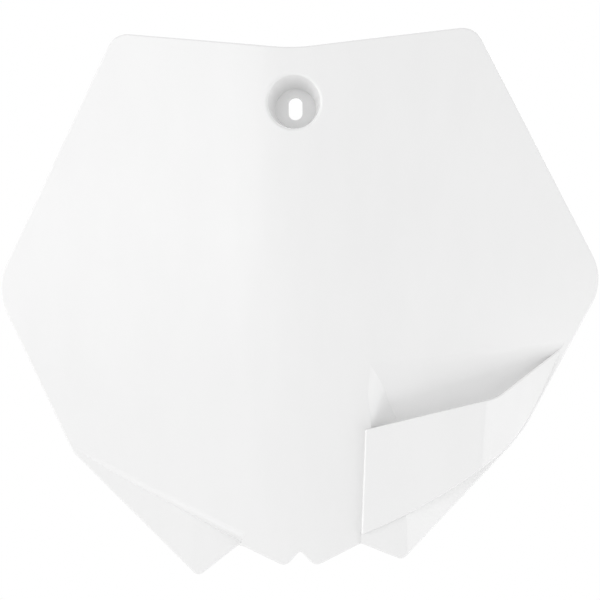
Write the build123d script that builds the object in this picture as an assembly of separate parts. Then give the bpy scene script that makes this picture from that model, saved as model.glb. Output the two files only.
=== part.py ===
"""Front number board of a motocross bike: one thin shell moulded in polypropylene.

The board is drawn face on: u runs to the right, v runs up and w comes out of the front.
The two flat flanks would meet on the line u = 0, w = 0, and v = 0 is the height of the screw cup.
The finished shell is then turned so that the screw's axis lies along Y, with the front facing -Y.
"""
from build123d import *
import os
from math import atan2, cos, degrees, radians, sin, tan

# Sheet and main face
WALL = 2.4
FLANK_ANGLE = 8.0
RIDGE_RADIUS = 210.0
LEAN = 8.0
EDGE_ROUND = 0.8

# Outline, as sharp corners before they are rounded
TOP_HALF_WIDTH = 84.6
TOP_HEIGHT = 34.7
DIP_HEIGHT = 25.2
SIDE_HALF_WIDTH = 144.0
SIDE_DROP = 84.4
LEFT_BEND_REACH = 107.4
LEFT_BEND_DROP = 162.0
RIGHT_BEND_REACH = 104.0
RIGHT_BEND_DROP = 156.0
LEFT_TIP_REACH = 48.6
RIGHT_TIP_REACH = 47.5
VALLEY_REACH = 28.3
VALLEY_DROP = 205.5
POINT_REACH = 6.9

# Depths of the lower edge's corners below its valleys
LEFT_TIP_DEPTH = 15.6
RIGHT_TIP_DEPTH = 7.8
POINT_DEPTH = 10.4
NOTCH_DEPTH = 3.0

# Outline corner radii
DIP_RADIUS = 80.0
TOP_RADIUS = 10.0
SIDE_RADIUS = 24.0
LEFT_BEND_RADIUS = 10.0
RIGHT_BEND_RADIUS = 70.0
TIP_RADIUS = 3.5
LEFT_VALLEY_RADIUS = 4.0
RIGHT_VALLEY_RADIUS = 2.0
POINT_RADIUS = 4.0
NOTCH_RADIUS = 1.5

# Screw cup
CUP_RIM_RADIUS = 12.5
CUP_FLOOR_RADIUS = 9.4
CUP_DEPTH = 15.0
CUP_RIM_ROUND = 1.5
SLOT_WIDTH = 6.5
SLOT_LENGTH = 11.0

# Ears at the lower corners
CREASE_INSIDE_RADIUS = 2.6
CREASE_ANGLE = 65.0
LEFT_EAR_SET_BACK = 7.3
RIGHT_EAR_SET_BACK = 1.4
LEFT_FOLD_INSIDE_RADIUS = 22.6
RIGHT_FOLD_INSIDE_RADIUS = 1.6
FOLD_OFFSET = 1.5
RIGHT_CREASE_SAG = 3.8
EAR_OVERLAP = 12.0

# Hose pocket: a panel that stands proud, with a scoop in the flank above its lip
RIM_WIDTH = 2.8
LOW_RIM_WIDTH = 1.2
PANEL_PROUD = 2.8
PANEL_FOOT_GAP = 4.0
PANEL_EDGE_ROUND = 1.2
LIP_ROUND = 0.6
PANEL_BEND_INSIDE_RADIUS = 9.6
PANEL_BEND_LEAD = 3.8
PANEL_BEND_OFFSET = 21.1
LIP_LEFT_REACH = 31.0
LIP_LEFT_DROP = 152.7
MOUTH_END_DROP = 116.1
LIP_RISE_LENGTH = 38.3
LIP_RISE_SLOPE = 36.2
LIP_KNEE_RADIUS = 20.0
RAMP_GAP = 3.0
RAMP_SLOPE = 5.5
RAMP_ANGLE = 22.0
RAMP_LEFT_RADIUS = 60.0
RAMP_RIGHT_RADIUS = 8.0
SCOOP_END_SLOPE = 86.0
SCOOP_END_ANGLE = 30.0
SCOOP_END_LOW_RADIUS = 5.0
SCOOP_END_HIGH_RADIUS = 90.0
SCOOP_END_LENGTH = 110.0

# Working room around the board for blocks and cutters
FRONT = 40.0
BACK = 60.0
ROOM = 320.0

# How far in front of a flank its rolled edges start
LIFT = 0.005

# How edges are told apart
NEAR = 0.01
UPRIGHT = 0.9

FRONTAL = Vector(0, 0, 1)
RIGHT_FLANK = Vector(sin(radians(FLANK_ANGLE)), 0, cos(radians(FLANK_ANGLE)))
LEFT_FLANK = Vector(-RIGHT_FLANK.X, 0, RIGHT_FLANK.Z)
RIDGE_CENTRE = -RIDGE_RADIUS / cos(radians(FLANK_ANGLE))
CREST = RIDGE_CENTRE + RIDGE_RADIUS
CREASE_RADIUS = CREASE_INSIDE_RADIUS + WALL
LEFT_FOLD_RADIUS = LEFT_FOLD_INSIDE_RADIUS + WALL
RIGHT_FOLD_RADIUS = RIGHT_FOLD_INSIDE_RADIUS + WALL
PANEL_BEND_RADIUS = PANEL_BEND_INSIDE_RADIUS + WALL
LEFT_BEND = (-LEFT_BEND_REACH, -LEFT_BEND_DROP)
RIGHT_BEND = (RIGHT_BEND_REACH, -RIGHT_BEND_DROP)
LEFT_TIP = (-LEFT_TIP_REACH, -VALLEY_DROP - LEFT_TIP_DEPTH)
RIGHT_TIP = (RIGHT_TIP_REACH, -VALLEY_DROP - RIGHT_TIP_DEPTH)
LEFT_VALLEY = (-VALLEY_REACH, -VALLEY_DROP)
RIGHT_VALLEY = (VALLEY_REACH, -VALLEY_DROP)
LEFT_POINT = (-POINT_REACH, -VALLEY_DROP - POINT_DEPTH)
RIGHT_POINT = (POINT_REACH, -VALLEY_DROP - POINT_DEPTH)
NOTCH = (0, -VALLEY_DROP - NOTCH_DEPTH)
LIP_LEFT = (LIP_LEFT_REACH, -LIP_LEFT_DROP)


def flank_level(u):
    """Level of the flat flanks, without the rounding of the ridge."""
    return -abs(u) * tan(radians(FLANK_ANGLE))


def along(start, slope, length):
    """Point at a distance from another, on a line with a slope in degrees."""
    return (start[0] + length * cos(radians(slope)), start[1] + length * sin(radians(slope)))


def slope_between(start, end):
    return degrees(atan2(end[1] - start[1], end[0] - start[0]))


def mouth_end():
    """Where the lip runs out, just inside the lower right edge of the board."""
    run = (SIDE_HALF_WIDTH - RIGHT_BEND_REACH) / (RIGHT_BEND_DROP - SIDE_DROP)
    edge = SIDE_HALF_WIDTH - (MOUTH_END_DROP - SIDE_DROP) * run
    return (edge - RIM_WIDTH / cos(atan2(run, 1)), -MOUTH_END_DROP)


PANEL_LEVEL = flank_level(LIP_LEFT_REACH) + PANEL_PROUD
LEFT_EAR_LEVEL = flank_level(VALLEY_REACH) - LEFT_EAR_SET_BACK
RIGHT_EAR_LEVEL = PANEL_LEVEL - RIGHT_EAR_SET_BACK
MOUTH_END = mouth_end()
LIP_KNEE = along(MOUTH_END, LIP_RISE_SLOPE, -LIP_RISE_LENGTH)
PANEL_SIDE_SLOPE = slope_between(LIP_LEFT, RIGHT_VALLEY)
PANEL_FOOT = along(RIGHT_VALLEY, PANEL_SIDE_SLOPE, -PANEL_FOOT_GAP)


def outline():
    """The board's shape seen face on, with its corners rounded."""
    corners = [
        ((0, DIP_HEIGHT), DIP_RADIUS),
        ((TOP_HALF_WIDTH, TOP_HEIGHT), TOP_RADIUS),
        ((SIDE_HALF_WIDTH, -SIDE_DROP), SIDE_RADIUS),
        (RIGHT_BEND, RIGHT_BEND_RADIUS),
        (RIGHT_TIP, TIP_RADIUS),
        (RIGHT_VALLEY, RIGHT_VALLEY_RADIUS),
        (RIGHT_POINT, POINT_RADIUS),
        (NOTCH, NOTCH_RADIUS),
        (LEFT_POINT, POINT_RADIUS),
        (LEFT_VALLEY, LEFT_VALLEY_RADIUS),
        (LEFT_TIP, TIP_RADIUS),
        (LEFT_BEND, LEFT_BEND_RADIUS),
        ((-SIDE_HALF_WIDTH, -SIDE_DROP), SIDE_RADIUS),
        ((-TOP_HALF_WIDTH, TOP_HEIGHT), TOP_RADIUS),
    ]
    points = [point for point, radius in corners]
    radii = [radius for point, radius in corners]
    return make_face(FilletPolyline(*points, radius=radii, close=True))


def upright(face, front=FRONT):
    """Solid that stands on a shape drawn face on, from the back up to a level."""
    return extrude(Pos(0, 0, -BACK) * face, BACK + front)


def roll_profile(angle, radius, inset):
    """Shape of the space in front of a surface that leaves a flat face and curves back."""
    turn = radians(angle)
    inner = radius - inset
    foot = Vector(inner * sin(turn), inner * cos(turn) - radius)
    far = foot + Vector(cos(turn), -sin(turn)) * ROOM
    middle = (inner * sin(turn / 2), inner * cos(turn / 2) - radius)
    arc = ThreePointArc((0, -inset), middle, foot)
    rest = Polyline(foot, far, (far.X + ROOM, far.Y), (far.X + ROOM, FRONT), (0, FRONT), (0, -inset))
    return make_face([arc, rest])


def roll_section(point, ahead, normal):
    """Plane across a roll that follows a line, with the flat face on its left."""
    return Plane(point, x_dir=ahead.cross(normal), z_dir=-ahead)


def roll_off(normal, start, end, angle, radius, inset, before=ROOM, after=ROOM):
    """Space in front of a surface that leaves a flat face along a line and curves back.

    Walking from start to end, the surface falls away on the right hand. The inset follows
    the same surface deeper in the sheet, round the same centre.
    """
    ahead = (end - start).normalized()
    section = roll_section(start, ahead, normal).offset(before + inset)
    length = before + (end - start).length + after + 2 * inset
    return extrude(section * roll_profile(angle, radius, inset), -length)


def tapered_roll(normal, start, end, angle, radii, inset):
    """The same kind of space, with a radius that changes evenly from start to end."""
    ahead = (end - start).normalized()
    sections = [
        roll_section(point, ahead, normal) * roll_profile(angle, radius, inset)
        for point, radius in zip((start, end), radii)
    ]
    return loft(sections, ruled=True)


def on_face(point, level):
    return Vector(point[0], point[1], level)


def flat(point):
    return Vector(point.X, point.Y, 0)


def front_edges(body, region):
    """Edges at the front of a body that stands on a region, round its border."""
    border = region.wire()

    def at_front(edge):
        middle = edge @ 0.5
        upright_edge = abs((edge % 0.5).Z) > UPRIGHT
        return middle.Z > NEAR - BACK and not upright_edge and border.distance_to(flat(middle)) < NEAR

    return body.edges().filter_by(at_front)


def trimmed(body):
    """A body cut to the outline, with its front edge rounded."""
    board = outline()
    cut = body & upright(board)
    return fillet(front_edges(cut, board), EDGE_ROUND)


def on_flank(point):
    """Point a hair in front of a flank, so that a surface rolled off there crosses the flat."""
    return on_face(point, flank_level(point[0]) + LIFT)


def ridge_block(inset):
    """Everything behind the two flat flanks and the soft ridge that joins them."""
    turn = radians(FLANK_ANGLE)
    radius = RIDGE_RADIUS - inset
    edge = (radius * sin(turn), RIDGE_CENTRE + radius * cos(turn))
    side = (ROOM, flank_level(ROOM) - inset / cos(turn))
    left_edge, left_side = (-edge[0], edge[1]), (-side[0], side[1])
    bottom = -BACK - inset
    arc = ThreePointArc(left_edge, (0, RIDGE_CENTRE + radius), edge)
    rest = Polyline(edge, side, (ROOM, bottom), (-ROOM, bottom), left_side, left_edge)
    return extrude(Plane.XZ * make_face([arc, rest]), ROOM, both=True)


def left_crease(inset):
    """Rolled lower edge of the left flank, which the left ear is set back from."""
    bend, valley = on_flank(LEFT_BEND), on_flank(LEFT_VALLEY)
    inward = LEFT_FLANK.cross((valley - bend).normalized())
    start = bend + inward * (CREASE_RADIUS * tan(radians(CREASE_ANGLE) / 2))
    end = start + (valley - bend) + inward * (LEFT_EAR_SET_BACK / tan(radians(CREASE_ANGLE)))
    return roll_off(LEFT_FLANK, start, end, CREASE_ANGLE, CREASE_RADIUS, inset, after=0)


def fold_angle(level, fold_reach, bend_reach):
    """Turn of an ear's outer half, so that it meets the flank at the bend of the outline."""
    return degrees(atan2(level - flank_level(bend_reach), bend_reach - fold_reach))


def left_ear(inset):
    """Left ear: flat beside the middle, softly folded back at the tip, all behind the flank."""
    reach = LEFT_TIP_REACH + FOLD_OFFSET
    level = LEFT_EAR_LEVEL
    angle = fold_angle(level, reach, LEFT_BEND_REACH)
    slope = slope_between(LEFT_BEND, LEFT_VALLEY)
    above = along(LEFT_VALLEY, slope + 90, 2 * CREASE_RADIUS)
    end = along(above, slope, EAR_OVERLAP)
    corners = along(above, slope, -ROOM), end, (end[0], -ROOM), (-ROOM, -ROOM)
    region = make_face(Polyline(*corners, close=True))
    bottom, top = on_face((-reach, LEFT_TIP[1]), level), on_face((-reach, 0), level)
    fold = roll_off(FRONTAL, top, bottom, angle, LEFT_FOLD_RADIUS, inset)
    return (upright(region, level - inset) - fold) & ridge_block(inset)


def right_ear(inset):
    """Right ear: level with the foot of the pocket panel, folded back at the tip."""
    reach = RIGHT_TIP_REACH + FOLD_OFFSET
    level = RIGHT_EAR_LEVEL
    angle = fold_angle(level, reach, RIGHT_BEND_REACH)
    low = along(RIGHT_VALLEY, PANEL_SIDE_SLOPE, RIGHT_TIP_REACH)
    inward = slope_between(RIGHT_TIP, (SIDE_HALF_WIDTH, -SIDE_DROP)) + 90
    inside, outside = along(RIGHT_BEND, inward, EAR_OVERLAP), along(RIGHT_BEND, inward, -EAR_OVERLAP)
    corners = PANEL_FOOT, inside, outside, (ROOM, outside[1]), (ROOM, low[1]), low
    region = make_face(Polyline(*corners, close=True))
    region = region & Pos(-inset / sin(radians(PANEL_SIDE_SLOPE)), 0) * region
    bottom, top = on_face((reach, RIGHT_TIP[1]), level), on_face((reach, 0), level)
    fold = roll_off(FRONTAL, bottom, top, angle, RIGHT_FOLD_RADIUS, inset)
    return upright(region, level - inset) - fold


def below_lip(drop):
    """Region under the pocket's lip, which is straight to its knee and on to the mouth's end."""
    far_left = along(LIP_LEFT, slope_between(LIP_LEFT, LIP_KNEE), -ROOM)
    far_right = along(MOUTH_END, slope_between(LIP_KNEE, MOUTH_END), ROOM)
    edge = FilletPolyline(far_left, LIP_KNEE, far_right, radius=LIP_KNEE_RADIUS)
    rest = Polyline(far_right, (far_right[0], -2 * ROOM), (far_left[0], -2 * ROOM), far_left)
    region = make_face(edge.edges() + rest.edges())
    return offset(region, -drop) if drop else region


def inside_rim():
    """Region to the left of the rim, which narrows from the mouth's end to the bend of the outline."""
    slope = slope_between(MOUTH_END, RIGHT_BEND)
    high, low = along(MOUTH_END, slope, -ROOM), along(MOUTH_END, slope, ROOM)
    corners = high, low, (low[0] - 2 * ROOM, low[1]), (high[0] - 2 * ROOM, high[1])
    return make_face(Polyline(*corners, close=True))


def panel_region(inset):
    """The pocket panel seen face on, inside the rim of the board."""
    foot, bend = Vector(*PANEL_FOOT), Vector(*RIGHT_BEND)
    chord = bend - foot
    sag = (foot + bend) / 2 + chord.cross(FRONTAL).normalized() * RIGHT_CREASE_SAG
    crease = ThreePointArc(foot, sag, bend)
    rest = Polyline(bend, (ROOM, bend.Y), (ROOM, 0), (LIP_LEFT_REACH, 0), LIP_LEFT, foot)
    region = make_face([crease, rest]) & below_lip(0) & inside_rim() & offset(outline(), -LOW_RIM_WIDTH)
    return offset(region, -inset) if inset else region


def panel_bend(inset):
    """The panel's right part, bent back to meet the flank at the mouth's end."""
    high = along(LIP_KNEE, slope_between(LIP_KNEE, LIP_LEFT), PANEL_BEND_LEAD)
    low = along(RIGHT_BEND, slope_between(RIGHT_BEND, PANEL_FOOT), PANEL_BEND_OFFSET)
    top, foot = on_face(high, PANEL_LEVEL), on_face(low, PANEL_LEVEL)
    outward = FRONTAL.cross((foot - top).normalized())
    run = (on_face(MOUTH_END, PANEL_LEVEL) - top).dot(outward)
    angle = degrees(atan2(PANEL_LEVEL - flank_level(MOUTH_END[0]), run))
    start = outward * (-PANEL_BEND_RADIUS * tan(radians(angle) / 2))
    return roll_off(FRONTAL, foot + start, top + start, angle, PANEL_BEND_RADIUS, inset)


def panel(inset):
    return upright(panel_region(inset), PANEL_LEVEL - inset) - panel_bend(inset)


def rounded_panel():
    """The panel with a rolled left edge, and the rest of its border lightly rounded."""
    top, foot = on_face(LIP_LEFT, PANEL_LEVEL), on_face(RIGHT_VALLEY, PANEL_LEVEL)
    inward = FRONTAL.cross((foot - top).normalized()) * PANEL_EDGE_ROUND
    edge = roll_off(FRONTAL, top + inward, foot + inward, 90, PANEL_EDGE_ROUND, 0)
    rolled = panel(0) - edge
    side = Line(LIP_LEFT, RIGHT_VALLEY)
    border = front_edges(rolled, panel_region(0))
    return fillet(border.filter_by(lambda edge: side.distance_to(flat(edge @ 0.5)) > NEAR), LIP_ROUND)


def scoop_space(inset):
    """Space in front of the ramp that leads the hose down behind the panel."""
    right = along(MOUTH_END, RAMP_SLOPE + 90, RAMP_GAP)
    ramp_start = on_flank(along(right, RAMP_SLOPE, LIP_LEFT_REACH - MOUTH_END[0]))
    ramp_end = on_flank(along(right, RAMP_SLOPE, 2 * RIM_WIDTH))
    ramp_radii = RAMP_LEFT_RADIUS, RAMP_RIGHT_RADIUS
    ramp = tapered_roll(RIGHT_FLANK, ramp_start, ramp_end, RAMP_ANGLE, ramp_radii, inset)
    side_start = on_flank(along(LIP_LEFT, SCOOP_END_SLOPE, -WALL))
    side_end = on_flank(along(LIP_LEFT, SCOOP_END_SLOPE, SCOOP_END_LENGTH))
    side_radii = SCOOP_END_LOW_RADIUS, SCOOP_END_HIGH_RADIUS
    side = tapered_roll(RIGHT_FLANK, side_start, side_end, SCOOP_END_ANGLE, side_radii, inset)
    return ramp & side


def scoop(inset):
    """The part of that space above the lip, with a blunt right end inside the rim."""
    whole = make_face(Polyline((0, 0), (ROOM, 0), (ROOM, -ROOM), (0, -ROOM), close=True))
    return scoop_space(inset) & upright((whole - below_lip(inset)) & offset(outline(), inset - RIM_WIDTH))


def passage():
    """Gap between the ramp and the back of the panel, from a wall above the lip to two walls below it."""
    low, high = below_lip(2 * WALL), below_lip(-WALL)
    corners = LIP_LEFT, (ROOM, LIP_LEFT[1]), (ROOM, 0), (LIP_LEFT_REACH, 0)
    inside = Pos(WALL, 0) * make_face(Polyline(*corners, close=True))
    gap = upright((high - low) & inside, PANEL_LEVEL - WALL) - panel_bend(WALL)
    return scoop_space(0) & gap


CUP = Plane((0, 0, CREST), x_dir=(1, 0, 0), z_dir=(0, sin(radians(LEAN)), cos(radians(LEAN))))


def cup(inset):
    """Tapered recess for the screw's head."""
    taper = (CUP_RIM_RADIUS - CUP_FLOOR_RADIUS) / CUP_DEPTH
    depth = CUP_DEPTH + inset
    wider = inset / cos(atan2(taper, 1))
    cone = Cone(
        CUP_RIM_RADIUS - taper * depth + wider,
        CUP_RIM_RADIUS + taper * FRONT + wider,
        depth + FRONT,
        align=(Align.CENTER, Align.CENTER, Align.MIN),
    )
    return CUP.offset(-depth) * cone


def cupped_block():
    """Flanks and ridge with the cup sunk into them, its rim rounded."""
    block = ridge_block(0) - cup(0)
    rim = block.edges().sort_by(lambda edge: (edge.center(CenterOf.MASS) - CUP.origin).length)[0]
    return fillet(rim, CUP_RIM_ROUND)


def front_body():
    """Everything behind the board's front skin, within its outline."""
    body = trimmed(cupped_block()) - left_crease(0) - scoop(0)
    return body + trimmed(left_ear(0)) + trimmed(right_ear(0)) + rounded_panel()


def hollow():
    """Everything behind the sheet: the same forms, one wall deeper."""
    body = ridge_block(WALL) - cup(WALL) - left_crease(WALL) - scoop(WALL)
    return body + left_ear(WALL) + right_ear(WALL) + panel(WALL)


def screw_slot():
    """Upright slot through the floor of the cup."""
    slot = extrude(Rot(0, 0, 90) * SlotOverall(SLOT_LENGTH, SLOT_WIDTH), 3 * WALL)
    return CUP.offset(-CUP_DEPTH - 2 * WALL) * slot


def number_board():
    shell = front_body() - hollow() - passage() - screw_slot()
    seat = CUP.offset(-CUP_DEPTH - WALL)
    return Rot(90, 0, 0) * seat.to_local_coords(shell)


if __name__ == "__main__":
    os.makedirs("parts", exist_ok=True)
    export_step(number_board(), "parts/number_board.step")
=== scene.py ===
# %% [markdown]
# A racing number board for the front of a motocross bike: one shell of white polypropylene, straight from its
# mould. The imported model is the fixed frame: it brings the exact shape, in metres, with the screw's axis along Y,
# the front facing -Y and Z up. Everything below only dresses it; its box is kept and sets the floor's height.

import math

import bmesh
import bpy
from mathutils import Matrix, Vector


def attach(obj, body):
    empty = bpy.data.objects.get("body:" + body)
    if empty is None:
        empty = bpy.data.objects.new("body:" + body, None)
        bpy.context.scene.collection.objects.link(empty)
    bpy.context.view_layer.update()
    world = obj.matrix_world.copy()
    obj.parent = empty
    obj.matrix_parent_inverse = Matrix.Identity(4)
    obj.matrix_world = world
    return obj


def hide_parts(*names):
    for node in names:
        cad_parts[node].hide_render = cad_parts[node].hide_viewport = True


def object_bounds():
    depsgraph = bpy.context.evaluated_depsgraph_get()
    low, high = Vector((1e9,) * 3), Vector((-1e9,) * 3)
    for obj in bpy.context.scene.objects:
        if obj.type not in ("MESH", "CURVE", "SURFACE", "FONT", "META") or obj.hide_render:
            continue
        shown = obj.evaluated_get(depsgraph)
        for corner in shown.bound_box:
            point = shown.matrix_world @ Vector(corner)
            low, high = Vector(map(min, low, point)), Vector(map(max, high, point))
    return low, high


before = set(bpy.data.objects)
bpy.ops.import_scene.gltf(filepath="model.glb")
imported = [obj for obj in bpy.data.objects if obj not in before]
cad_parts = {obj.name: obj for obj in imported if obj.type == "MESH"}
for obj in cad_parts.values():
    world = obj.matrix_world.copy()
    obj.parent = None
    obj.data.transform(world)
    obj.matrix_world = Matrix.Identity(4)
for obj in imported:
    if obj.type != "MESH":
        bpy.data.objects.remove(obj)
cad_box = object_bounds()
MM = 0.001
print("CAD box in mm", [[round(c / MM, 1) for c in corner] for corner in cad_box])

# %% [markdown]
# The camera comes first, because every finish is judged through it. The board is seen almost square on: the camera
# stands a little to the right of its middle and looks up by the board's own lean, so that it faces the flanks. A
# long lens from over a metre away keeps the two sides of the outline nearly parallel.

# %% Camera
CAMERA_AZIMUTH = 3.0
CAMERA_ELEVATION = -8.0
CAMERA_ROLL = -0.395
CAMERA_DISTANCE = 1300 * MM
SENSOR_WIDTH = 36
VIEW_WIDTH = 278.4 * MM
VIEW_CENTRE = Vector((1.7, -6.6, -91.4)) * MM


def towards(azimuth, elevation):
    """Unit vector from the object to a point round it: 0 is in front, 90 is on the +X side."""
    a, e = math.radians(azimuth), math.radians(elevation)
    return Vector((math.sin(a) * math.cos(e), -math.cos(a) * math.cos(e), math.sin(e)))


def facing(back):
    """Rotation of a camera or lamp that looks against a direction, with Z upwards."""
    return (-back).to_track_quat("-Z", "Y").to_matrix()


camera_data = bpy.data.cameras.new("camera")
camera = bpy.data.objects.new("camera", camera_data)
bpy.context.scene.collection.objects.link(camera)
camera_data.sensor_width = SENSOR_WIDTH
camera_data.lens = SENSOR_WIDTH * CAMERA_DISTANCE / VIEW_WIDTH
camera_back = towards(CAMERA_AZIMUTH, CAMERA_ELEVATION)
turn = facing(camera_back) @ Matrix.Rotation(math.radians(CAMERA_ROLL), 3, "Z")
camera.matrix_world = Matrix.Translation(VIEW_CENTRE + camera_back * CAMERA_DISTANCE) @ turn.to_4x4()
bpy.context.scene.camera = camera
print("camera at", [round(c, 3) for c in camera.location], "lens", round(camera_data.lens, 1))

# %% [markdown]
# The shell is the moulding itself. Its form comes whole from the solid, so it isn't modelled again: a copy of the
# solid's mesh is welded into one closed skin. Welding alone would smear the shading from the flats into the rolled
# edges, so each corner of each face gets back the exact normal that it had on the solid.

# %% Shell
WELD = 0.001 * MM


def welded_copy(node, name):
    """A closed copy of a CAD mesh: its loose triangles are joined and its exact normals kept."""
    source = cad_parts[node].data
    shape = bmesh.new()
    shape.from_mesh(source)
    first = shape.faces.layers.int.new("first")
    for face in shape.faces:
        face[first] = face.index
        face.smooth = True
    bmesh.ops.remove_doubles(shape, verts=shape.verts, dist=WELD)
    origins = [face[first] for face in shape.faces]
    open_edges = sum(len(edge.link_faces) != 2 for edge in shape.edges)
    shape.faces.layers.int.remove(first)
    mesh = bpy.data.meshes.new(name)
    shape.to_mesh(mesh)
    shape.free()
    mesh.normals_split_custom_set(kept_normals(source, mesh, origins))
    print(name, "has", len(mesh.vertices), "points,", len(mesh.polygons), "faces and", open_edges, "open edges")
    piece = bpy.data.objects.new(name, mesh)
    bpy.context.scene.collection.objects.link(piece)
    return piece


def kept_normals(source, mesh, origins):
    """The source's normal for each face corner of a welded mesh, found at the nearest corner of the same face."""
    normals = []
    for face, origin in zip(mesh.polygons, origins):
        corners = [(source.vertices[source.loops[c].vertex_index].co, source.corner_normals[c].vector)
                   for c in source.polygons[origin].loop_indices]
        for vertex in face.vertices:
            place = mesh.vertices[vertex].co
            normals.append(min(corners, key=lambda corner: (corner[0] - place).length_squared)[1])
    return normals


shell = welded_copy("number_board", "moulded_shell")

# %% [markdown]
# On a bike the board is one rigid thing that nothing moves, so the shell rides whole on the only body, root. It
# takes the place of the solid's own mesh in the picture. The solid stays in the model, where it is needed for
# collisions.

# %% Ride
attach(shell, "root")
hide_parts("number_board")

# %% [markdown]
# Every finish needs two small tools. Colours are written as sRGB hex values, as on a colour chart, but shaders
# reckon in linear light, so one function converts them. Nodes could be placed by hand in the editor; here another
# function adds one with its settings and links, so that each line below reads like a wire in the node tree.

# %% Colours and nodes
def linear(hexcode):
    """Linear colour of an sRGB hex value."""
    values = [int(hexcode[i:i + 2], 16) / 255 for i in (0, 2, 4)]
    return [v / 12.92 if v <= 0.04045 else ((v + 0.055) / 1.055) ** 2.4 for v in values] + [1]


def add(tree, kind, settings=None, **links):
    """Adds a node with its settings; each link names an input and gives the output or value for it."""
    node = tree.nodes.new(kind)
    for key, value in (settings or {}).items():
        setattr(node, key, value)
    for key, value in links.items():
        socket = node.inputs[key.replace("_", " ")]
        if isinstance(value, bpy.types.NodeSocket):
            tree.links.new(value, socket)
        else:
            socket.default_value = value
    return node


print("mid grey in linear light", [round(v, 3) for v in linear("808080")[:3]])

# %% [markdown]
# White polypropylene, moulded against polished steel. The eye sees an even, neutral white with a clear sheen.
# A flat colour with one roughness would look like paint, so four faint things are added with noise: the pigment
# lies in pale clouds, drawn out along the flow from the top; the sheet cooled unevenly, so reflections waver over
# a few centimetres; the steel left a fine skin; and the sheen is a little duller in soft patches where the board
# has been handled. The skin's own grain is finer than a pixel, so it is drawn coarser, at 0.7 mm, to show at all.

# %% Material
WHITE = "EDEDED"
CLOUD_WIDTH = 16 * MM
CLOUD_LENGTH = 55 * MM
CLOUD_SHADE = 0.985
CLOUD_EDGES = (0.3, 0.7)
WAVE_PERIOD = 38 * MM
WAVE_HEIGHT = 0.03 * MM
GRAIN_PERIOD = 0.7 * MM
GRAIN_HEIGHT = 0.0015 * MM
PATCH_PERIOD = 26 * MM
PATCH_EDGES = (0.35, 0.65)
SHEEN_CLEAR = 0.12
SHEEN_DULL = 0.18
POLYPROPYLENE_IOR = 1.49


def moulded_polypropylene():
    """Clouded white with a fine moulded skin; every noise has one blob to about one period."""
    material = bpy.data.materials.new("moulded_polypropylene")
    material.use_nodes = True
    tree = material.node_tree
    tree.nodes.clear()
    place = add(tree, "ShaderNodeTexCoord").outputs["Object"]

    flow = add(tree, "ShaderNodeMapping", Vector=place, Scale=(1, 1, CLOUD_WIDTH / CLOUD_LENGTH))
    clouds = add(tree, "ShaderNodeTexNoise", Vector=flow.outputs["Vector"], Scale=1 / CLOUD_WIDTH, Detail=3)
    shade = add(tree, "ShaderNodeMapRange", Value=clouds.outputs["Fac"], From_Min=CLOUD_EDGES[0],
                From_Max=CLOUD_EDGES[1], To_Min=CLOUD_SHADE, To_Max=1)
    white = add(tree, "ShaderNodeHueSaturation", Color=linear(WHITE), Value=shade.outputs["Result"])

    cooling = add(tree, "ShaderNodeTexNoise", Vector=place, Scale=1 / WAVE_PERIOD, Detail=1)
    waves = add(tree, "ShaderNodeBump", Height=cooling.outputs["Fac"], Distance=WAVE_HEIGHT)
    skin = add(tree, "ShaderNodeTexNoise", Vector=place, Scale=1 / GRAIN_PERIOD, Detail=2)
    grain = add(tree, "ShaderNodeBump", Height=skin.outputs["Fac"], Distance=GRAIN_HEIGHT,
                Normal=waves.outputs["Normal"])

    handling = add(tree, "ShaderNodeTexNoise", Vector=place, Scale=1 / PATCH_PERIOD, Detail=3)
    sheen = add(tree, "ShaderNodeMapRange", Value=handling.outputs["Fac"], From_Min=PATCH_EDGES[0],
                From_Max=PATCH_EDGES[1], To_Min=SHEEN_CLEAR, To_Max=SHEEN_DULL)

    shader = add(tree, "ShaderNodeBsdfPrincipled", Base_Color=white.outputs["Color"], IOR=POLYPROPYLENE_IOR,
                 Roughness=sheen.outputs["Result"], Normal=grain.outputs["Normal"])
    add(tree, "ShaderNodeOutputMaterial", Surface=shader.outputs["BSDF"])
    return material


plastic = moulded_polypropylene()
shell.data.materials.append(plastic)
print(plastic.name, "has", len(plastic.node_tree.nodes), "nodes")

# %% [markdown]
# Six soft lamps light the board. A single one would leave one flank flat and the other dull. The largest stands far
# round on the left, and a weaker one between it and the camera is mirrored in the left flank, so that this flank is
# the brighter one. A wide faint one behind the camera lifts the ridge. On the right, a strip is mirrored in the bend
# and the end of the panel, and a lamp below lights the parts that face that way. It stands so low that the panel
# keeps it out of the pocket, which stays in soft shade. The last one is high behind the board and gives form to its
# back.

# %% Lamps
# Azimuth and elevation in degrees; distance, width and height in metres; watts.
LAMPS = {
    "far_left_lamp": (-68, -4, 1.5, 1.2, 1.6, 9.8),
    "left_front_lamp": (-26, 8, 1.6, 0.8, 0.9, 1.9),
    "front_lamp": (0, 5, 2.0, 2.0, 1.2, 0.7),
    "right_strip_lamp": (40, -14, 1.5, 1.0, 0.3, 1.5),
    "under_right_lamp": (85, -32, 1.5, 1.2, 0.6, 6.4),
    "back_lamp": (150, 40, 1.5, 1.2, 1.0, 6.0),
}


def soft_lamp(name, azimuth, elevation, distance, width, height, watts):
    """A rectangular lamp that faces the middle of the board."""
    data = bpy.data.lights.new(name, "AREA")
    data.shape = "RECTANGLE"
    data.size = width
    data.size_y = height
    data.energy = watts
    lamp = bpy.data.objects.new(name, data)
    bpy.context.scene.collection.objects.link(lamp)
    back = towards(azimuth, elevation)
    lamp.matrix_world = Matrix.Translation(VIEW_CENTRE + back * distance) @ facing(back).to_4x4()


for lamp_name, lamp_values in LAMPS.items():
    soft_lamp(lamp_name, *lamp_values)
print("lamps", list(LAMPS))

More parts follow.
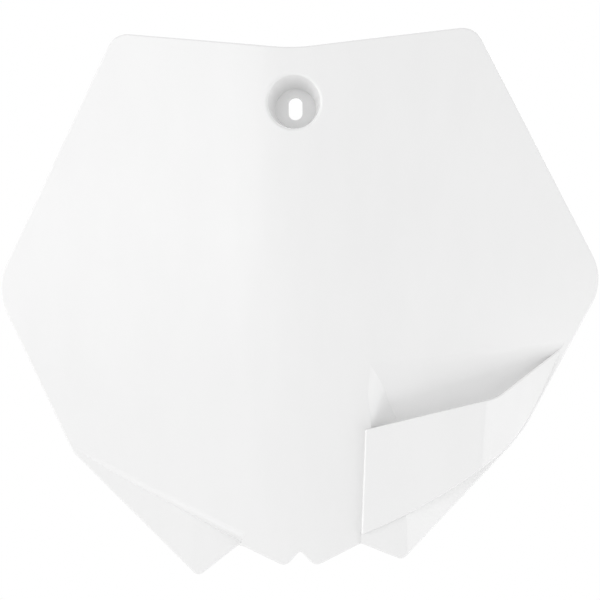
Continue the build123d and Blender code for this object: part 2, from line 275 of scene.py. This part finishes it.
# %% [markdown]
# The floor is one large matt sheet. The board is held by its screw and stands on nothing, so it hangs well clear of
# the floor, which only throws soft light up at it. A bright white floor would light the pocket from below and take
# its shade away, so the paint is a pale grey.

# %% Floor
FLOOR_DROP = 1000 * MM
FLOOR_REACH = 6
FLOOR_GREY = "E8E8E8"
FLOOR_ROUGHNESS = 0.9

floor_level = cad_box[0].z - FLOOR_DROP
corners = [(x * FLOOR_REACH, y * FLOOR_REACH, floor_level) for x, y in ((-1, -1), (1, -1), (1, 1), (-1, 1))]
floor_mesh = bpy.data.meshes.new("floor")
floor_mesh.from_pydata(corners, [], [(0, 1, 2, 3)])
floor = bpy.data.objects.new("floor", floor_mesh)
bpy.context.scene.collection.objects.link(floor)

floor_paint = bpy.data.materials.new("pale_floor")
floor_paint.use_nodes = True
floor_shader = floor_paint.node_tree.nodes["Principled BSDF"]
floor_shader.inputs["Base Color"].default_value = linear(FLOOR_GREY)
floor_shader.inputs["Roughness"].default_value = FLOOR_ROUGHNESS
floor_mesh.materials.append(floor_paint)
print("floor at", round(floor_level, 3))

# %% [markdown]
# The tent round it all is the world. It is plain white wherever it is seen, straight or in a reflection, and a
# little weaker where it lights the board, so that the white plastic keeps its tones and isn't washed out.

# %% Tent
TENT_WHITE = "FFFFFF"
TENT_SEEN = 1.0
TENT_LIGHT = 0.74

world = bpy.data.worlds.new("white_tent")
bpy.context.scene.world = world
world.use_nodes = True
tent = world.node_tree
tent.nodes.clear()
path = add(tent, "ShaderNodeLightPath")
direct = add(tent, "ShaderNodeMath", {"operation": "MAXIMUM"})
tent.links.new(path.outputs["Is Camera Ray"], direct.inputs[0])
tent.links.new(path.outputs["Is Glossy Ray"], direct.inputs[1])
seen = add(tent, "ShaderNodeMath", {"operation": "MAXIMUM"})
tent.links.new(direct.outputs[0], seen.inputs[0])
tent.links.new(path.outputs["Is Transmission Ray"], seen.inputs[1])
lit = add(tent, "ShaderNodeBackground", Color=linear(TENT_WHITE), Strength=TENT_LIGHT)
bright = add(tent, "ShaderNodeBackground", Color=linear(TENT_WHITE), Strength=TENT_SEEN)
mix = add(tent, "ShaderNodeMixShader", Fac=seen.outputs[0])
tent.links.new(lit.outputs[0], mix.inputs[1])
tent.links.new(bright.outputs[0], mix.inputs[2])
add(tent, "ShaderNodeOutputWorld", Surface=mix.outputs[0])

bpy.context.scene.view_settings.view_transform = "Standard"
print(world.name, "has", len(tent.nodes), "nodes")
